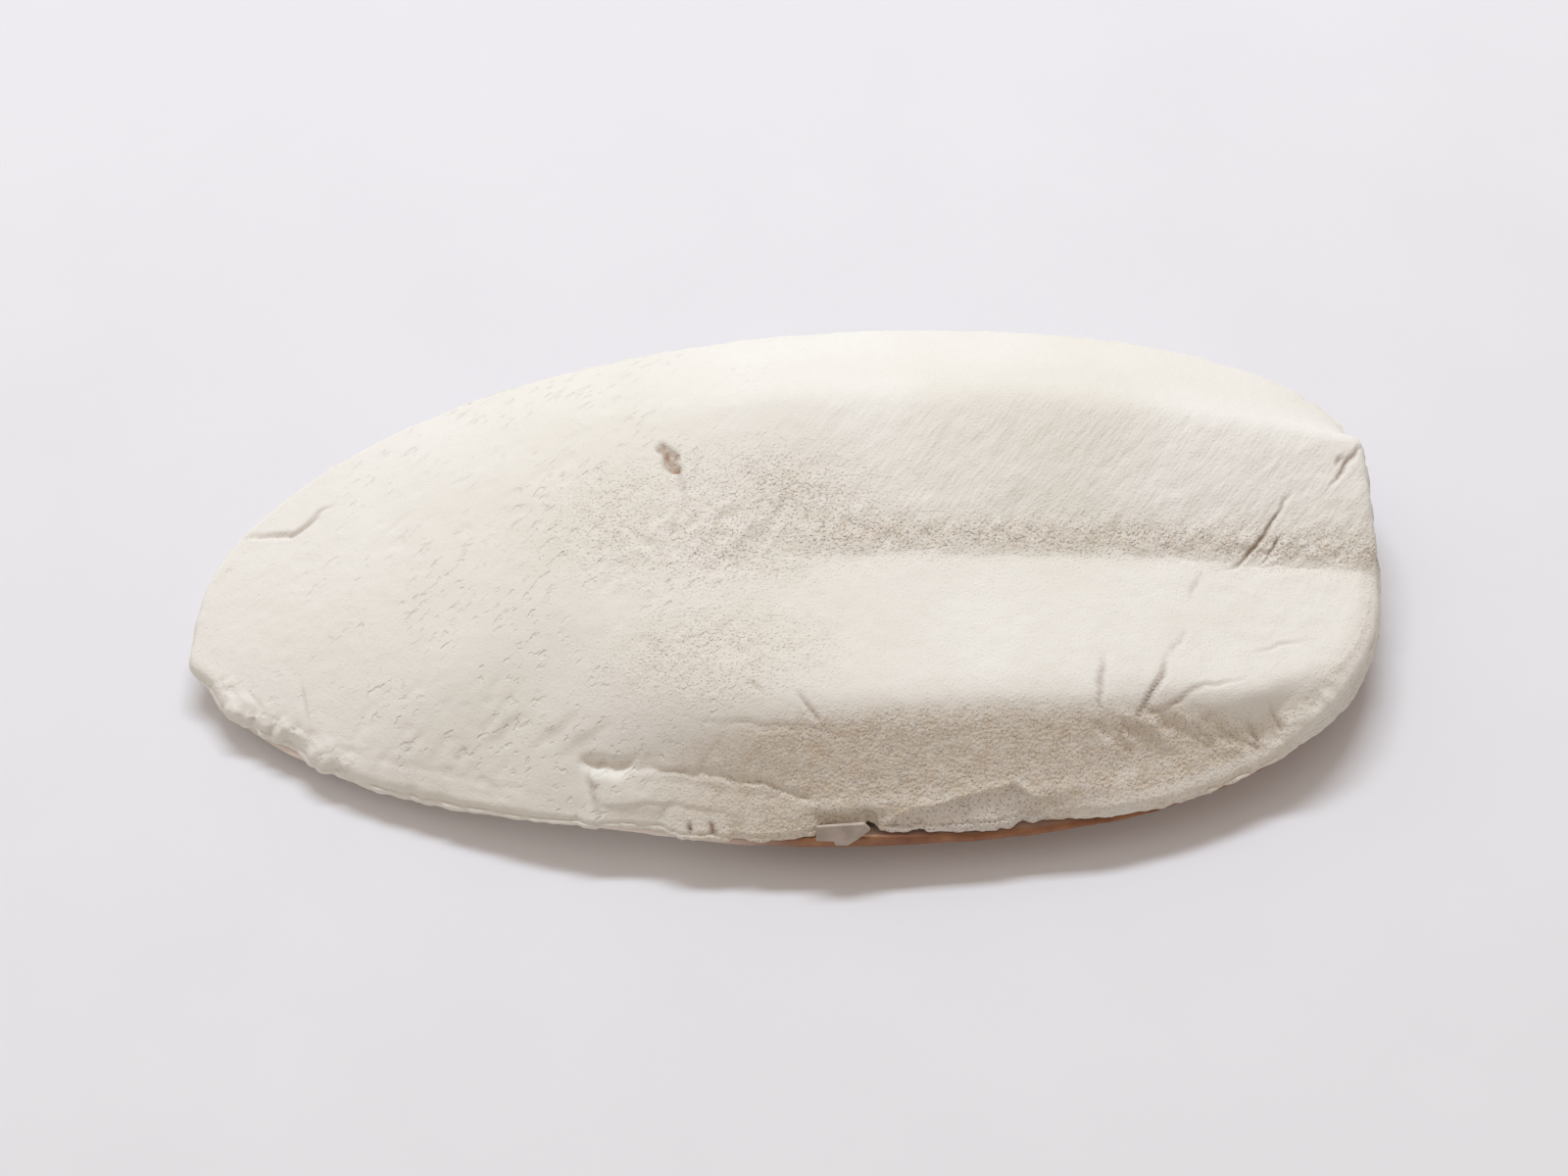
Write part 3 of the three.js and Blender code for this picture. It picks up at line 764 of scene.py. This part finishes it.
def add(tree, kind, settings=None, **links):
    """Add one node; settings go by property or socket name, links by socket name or number, as in _0."""
    node = tree.nodes.new(kind)
    for name, value in (settings or {}).items():
        if hasattr(node, name):
            setattr(node, name, value)
        else:
            node.inputs[name].default_value = value
    for name, source in links.items():
        socket = int(name[1:]) if name[1:].isdigit() else name.replace("_", " ")
        tree.links.new(source, node.inputs[socket])
    return node


def new_material(name):
    """A material with no nodes yet, and its node tree."""
    material = bpy.data.materials.new(name)
    material.use_nodes = True
    material.node_tree.nodes.clear()
    return material, material.node_tree


def millimetres(tree):
    """Object coordinates, counted in millimetres."""
    place = add(tree, "ShaderNodeTexCoord").outputs["Object"]
    return add(tree, "ShaderNodeMapping", {"Scale": (1000, 1000, 1000)}, Vector=place).outputs[0]


def streaked(tree, vector, angle_deg, length):
    """Coordinates turned by an angle and drawn out along it, so that spots become streaks."""
    turn = (0, 0, math.radians(angle_deg))
    settings = {"vector_type": "TEXTURE", "Rotation": turn, "Scale": (length, 1, 1)}
    return add(tree, "ShaderNodeMapping", settings, Vector=vector).outputs[0]


def noise(tree, vector, size, detail):
    """Soft spots, 0 to 1, of about the given size."""
    settings = {"Scale": 1 / size, "Detail": detail}
    return add(tree, "ShaderNodeTexNoise", settings, Vector=vector).outputs["Fac"]


def pebbles(tree, vector, size):
    """Distance to the nearest of many scattered points that are about the given size apart."""
    return add(tree, "ShaderNodeTexVoronoi", {"Scale": 1 / size}, Vector=vector).outputs["Distance"]


def times(tree, first, second):
    """One value times another."""
    return add(tree, "ShaderNodeMath", {"operation": "MULTIPLY"}, _0=first, _1=second).outputs[0]


def ramp(tree, value, low, high):
    """Straight ramp: 0 up to the low value, 1 from the high one."""
    return add(tree, "ShaderNodeMapRange", {"From Min": low, "From Max": high}, Value=value).outputs[0]


def two_tones(tree, value, low, low_colour, high, high_colour):
    """One colour up to the low value, another from the high one, and a blend between."""
    node = add(tree, "ShaderNodeValToRGB", Fac=value)
    first, last = node.color_ramp.elements
    first.position, first.color = low, linear(low_colour)
    last.position, last.color = high, linear(high_colour)
    return node.outputs["Color"]


def tinted(tree, share, under, hex_colour):
    """The colour under it, blended towards one plain colour by a share."""
    node = add(tree, "ShaderNodeMix", {"data_type": "RGBA"}, _0=share, _6=under)
    node.inputs[7].default_value = linear(hex_colour)
    return node.outputs[2]


def bumps(tree, layers):
    """Bump nodes one on another; a layer is a height, its size in mm, a strength and if it is sunk."""
    below = {}
    for height, size, strength, sunk in layers:
        settings = {"Strength": strength, "Distance": size * MM, "invert": sunk}
        below = {"Normal": add(tree, "ShaderNodeBump", settings, Height=height, **below).outputs[0]}
    return below["Normal"]


def finish_material(tree, settings, colour, normal=None):
    """The shader and the output; plain numbers are set on the shader's own sockets."""
    links = {"Base_Color": colour}
    if normal is not None:
        links["Normal"] = normal
    shader = add(tree, "ShaderNodeBsdfPrincipled", settings, **links)
    add(tree, "ShaderNodeOutputMaterial", Surface=shader.outputs[0])


# %% [markdown]
# The chalk is dry aragonite: matt, a warm white that varies a little, with grit that is too fine for
# the mesh. It is creamy and full of crumbs and pale flecks where it is crumbly, and short scuffs cross
# the smooth half. On the steep front bank the creamy tint is strongest, darker and warmer, and there it
# is partly painted shade. The cracks are painted darker the deeper they are, the pit has darker speckles
# and the thread scratch is a dark line. The chalk's growth layers crop out as fine slanting lines on
# the far side of the groove and as level lines on the snapped face. They are bump patterns, with their
# spacing set in millimetres.

# %% Dry chalk
GRIT_MM, CRUMB_MM, FLECK_MM, SPOT_MM, TONE_MM = 0.30, 0.45, 0.30, 1.6, 26.0
LINE_MM, LINE_LENGTH, LINE_DEG = 0.48, 6, 52
SCUFF_MM, SCUFF_LENGTH, SCUFF_DEG, CLUSTER_MM = 0.75, 3.2, 38, 7.0
LAYER_MM, WAVE_TURNS = 0.55, 3.2


def dry_chalk():
    """Warm white, creamy (on the front bank partly painted shade), flecks and dark marks; grit, crumbs,
    lines, scuffs and end layers as bump.
    """
    material, tree = new_material("dry aragonite chalk")
    mm = millimetres(tree)
    mask = {}
    for name in chalk_masks:
        mask[name] = add(tree, "ShaderNodeAttribute", {"attribute_name": name}).outputs["Fac"]

    spots = noise(tree, mm, SPOT_MM, 4.0)
    flecks = times(tree, ramp(tree, noise(tree, mm, FLECK_MM, 1.0), 0.60, 0.72), mask["crumbly"])
    colour = two_tones(tree, noise(tree, mm, TONE_MM, 3.0), 0.35, "#e7e6dc", 0.68, "#eeeee7")
    # The creamy tint goes on in spots; on the front bank it is partly painted shade.
    colour = tinted(tree, times(tree, mask["cream_and_bank_shade"], spots), colour, "#cdb99b")
    colour = tinted(tree, flecks, colour, "#f3efe6")
    colour = tinted(tree, mask["flake"], colour, "#e2dcd2")
    # Darker marks: speckles in the pit, the thread scratch, and the cracks, darkest where deepest.
    colour = tinted(tree, mask["stain"], colour, "#9a7c64")

    grit = times(tree, noise(tree, mm, GRIT_MM, 2.0), mask["gritty"])
    crumbs = times(tree, pebbles(tree, mm, CRUMB_MM), times(tree, mask["crumbly"], spots))
    lines = noise(tree, streaked(tree, mm, LINE_DEG, LINE_LENGTH), LINE_MM, 2.0)
    lines = times(tree, lines, mask["growth_lines"])
    scuffs = noise(tree, streaked(tree, mm, SCUFF_DEG, SCUFF_LENGTH), SCUFF_MM, 3.0)
    clusters = ramp(tree, noise(tree, mm, CLUSTER_MM, 1.0), 0.42, 0.58)
    scuffs = times(tree, times(tree, ramp(tree, scuffs, 0.59, 0.70), clusters), mask["scuffed"])
    wave = {
        "bands_direction": "Z", "Scale": 1 / (LAYER_MM * WAVE_TURNS),
        "Distortion": 2.0, "Detail": 2.0,
    }
    layers = add(tree, "ShaderNodeTexWave", wave, Vector=mm).outputs["Fac"]
    layers = times(tree, layers, mask["end_layers"])
    normal = bumps(tree, [
        (grit, 0.10, 0.7, False),
        (crumbs, 0.26, 0.9, True),
        (lines, 0.15, 0.8, False),
        (flecks, 0.16, 0.9, False),
        (scuffs, 0.12, 0.9, True),
        (layers, 0.22, 0.8, False),
    ])
    finish_material(tree, {"Roughness": 0.92, "IOR": 1.5, "Specular IOR Level": 0.22}, colour, normal)
    return material


chalk.data.materials.append(dry_chalk())

# %% [markdown]
# The shield is denser and pinkish white, with fine grains, and its margin is horn: smooth, brown to
# amber and a little glossy. The mask made with the grid says where one turns into the other.

# %% Horny shield
STREAK_MM, SHIELD_GRAIN_MM = 3.5, 0.9


def horny_shield():
    """Amber horn at the margin that turns to pinkish white away from it, with grains as bump."""
    material, tree = new_material("horny back shield")
    mm = millimetres(tree)
    horn = add(tree, "ShaderNodeAttribute", {"attribute_name": "horn"}).outputs["Fac"]
    amber = two_tones(tree, noise(tree, mm, STREAK_MM, 4.0), 0.3, "#7a4526", 0.75, "#a87850")
    colour = add(tree, "ShaderNodeMix", {"data_type": "RGBA"}, _0=horn, _7=amber)
    colour.inputs[6].default_value = linear("#e9dfd6")
    normal = bumps(tree, [(pebbles(tree, mm, SHIELD_GRAIN_MM), 0.12, 0.5, False)])
    finish_material(tree, {"Roughness": 0.55, "IOR": 1.54}, colour.outputs[2], normal)
    return material


shield.data.materials.append(horny_shield())

# %% [markdown]
# The loose flake is a sheet of the same chalk, but dense, so it looks grey and smooth beside the
# crumbly white around it.

# %% Dense flake
FLAKE_TONE_MM = 1.8


def dense_flake():
    """Warm grey that varies a little, with a soft sheen and fine grit as bump."""
    material, tree = new_material("dense grey flake")
    mm = millimetres(tree)
    colour = two_tones(tree, noise(tree, mm, FLAKE_TONE_MM, 4.0), 0.35, "#ab9e91", 0.7, "#c0b4a8")
    normal = bumps(tree, [(noise(tree, mm, GRIT_MM, 2.0), 0.06, 0.5, False)])
    finish_material(tree, {"Roughness": 0.5, "IOR": 1.5}, colour, normal)
    return material


loose_flake.data.materials.append(dense_flake())

# %% [markdown]
# ## Table
# The table is a plain pale board, far larger than the bone, so that no edge of it shows.

# %% Table
TABLE_HALF = 1.4
MOTTLES_PER_METRE = 45.0


def pale_board():
    """Matt off-white paint with a barely visible mottle."""
    material, tree = new_material("matt white board")
    mottle = noise(tree, millimetres(tree), 1000 / MOTTLES_PER_METRE, 3.0)
    colour = two_tones(tree, mottle, 0.0, "#e4e6e9", 1.0, "#e9ebee")
    finish_material(tree, {"Roughness": 0.8, "Specular IOR Level": 0.2}, colour)
    return material


table_mesh = bpy.data.meshes.new("table")
corners = TABLE_HALF * np.array([(-1, -1, 0), (1, -1, 0), (1, 1, 0), (-1, 1, 0)])
table_mesh.from_pydata(corners.tolist(), [], [(0, 1, 2, 3)])
table_mesh.materials.append(pale_board())
table = bpy.data.objects.new("table", table_mesh)
bpy.context.scene.collection.objects.link(table)

# %% [markdown]
# ## Light
# The main light is a wide window behind the bone, cool and fairly high. It is narrow from top to
# bottom, so the shadow in front has a crisp edge, and wide from side to side, so small bumps of the
# rim don't show in it. A weak ceiling light and the warm room fill the shade.

# %% Light
WINDOW_DISTANCE, WINDOW_LIFT_DEG, WINDOW_TURN_DEG = 1.0, 58.0, -2.0
WINDOW_SIZE, WINDOW_COLOUR, WINDOW_POWER = (0.60, 0.12), "#eef4ff", 6.6
CEILING_PLACE = Vector((-0.55, 0.35, 1.1))
CEILING_SIZE, CEILING_COLOUR, CEILING_POWER = (1.4, 1.4), "#fffaf6", 2.4
ROOM_COLOUR, ROOM_STRENGTH = "#f5e4d8", 0.50


def direction(lift_deg, turn_deg):
    """Unit vector, turned by one angle from straight behind the bone and lifted by the other."""
    lift, turn = math.radians(lift_deg), math.radians(turn_deg)
    return Vector((math.sin(turn) * math.cos(lift), math.cos(turn) * math.cos(lift), math.sin(lift)))


def aimed(name, data, place, target):
    """A light or a camera at a place, turned to look at a target."""
    item = bpy.data.objects.new(name, data)
    item.location = place
    item.rotation_euler = (target - place).to_track_quat("-Z", "Y").to_euler()
    bpy.context.scene.collection.objects.link(item)
    print(name, "at", [round(v, 4) for v in place])
    return item


def area_light(name, place, size, colour, power):
    """A rectangular light at a place that looks at the origin."""
    light = bpy.data.lights.new(name, "AREA")
    light.shape = "RECTANGLE"
    light.size, light.size_y = size
    light.energy = power
    light.color = linear(colour)[:3]
    return aimed(name, light, place, Vector((0.0, 0.0, 0.0)))


world = bpy.data.worlds.new("room")
bpy.context.scene.world = world
world.use_nodes = True
room = world.node_tree.nodes["Background"]
room.inputs["Color"].default_value = linear(ROOM_COLOUR)
room.inputs["Strength"].default_value = ROOM_STRENGTH
window_place = WINDOW_DISTANCE * direction(WINDOW_LIFT_DEG, WINDOW_TURN_DEG)
area_light("window", window_place, WINDOW_SIZE, WINDOW_COLOUR, WINDOW_POWER)
area_light("ceiling", CEILING_PLACE, CEILING_SIZE, CEILING_COLOUR, CEILING_POWER)

# %% [markdown]
# ## Camera
# The camera stands in front, turned a little past straight, and looks down at sixty degrees.

# %% Camera
CAMERA_LIFT_DEG, CAMERA_TURN_DEG, CAMERA_DISTANCE = 60.0, 182.8, 0.4356
CAMERA_FIELD_DEG, CAMERA_NEAREST = 24.0, 0.01
CAMERA_TARGET = Vector((0.0, 0.0, 0.008))

camera = bpy.data.cameras.new("camera")
camera.sensor_fit = "HORIZONTAL"
camera.angle = math.radians(CAMERA_FIELD_DEG)
camera.clip_start = CAMERA_NEAREST
camera_place = CAMERA_TARGET + CAMERA_DISTANCE * direction(CAMERA_LIFT_DEG, CAMERA_TURN_DEG)
bpy.context.scene.camera = aimed("camera", camera, camera_place, CAMERA_TARGET)
bpy.context.scene.view_settings.view_transform = "Standard"
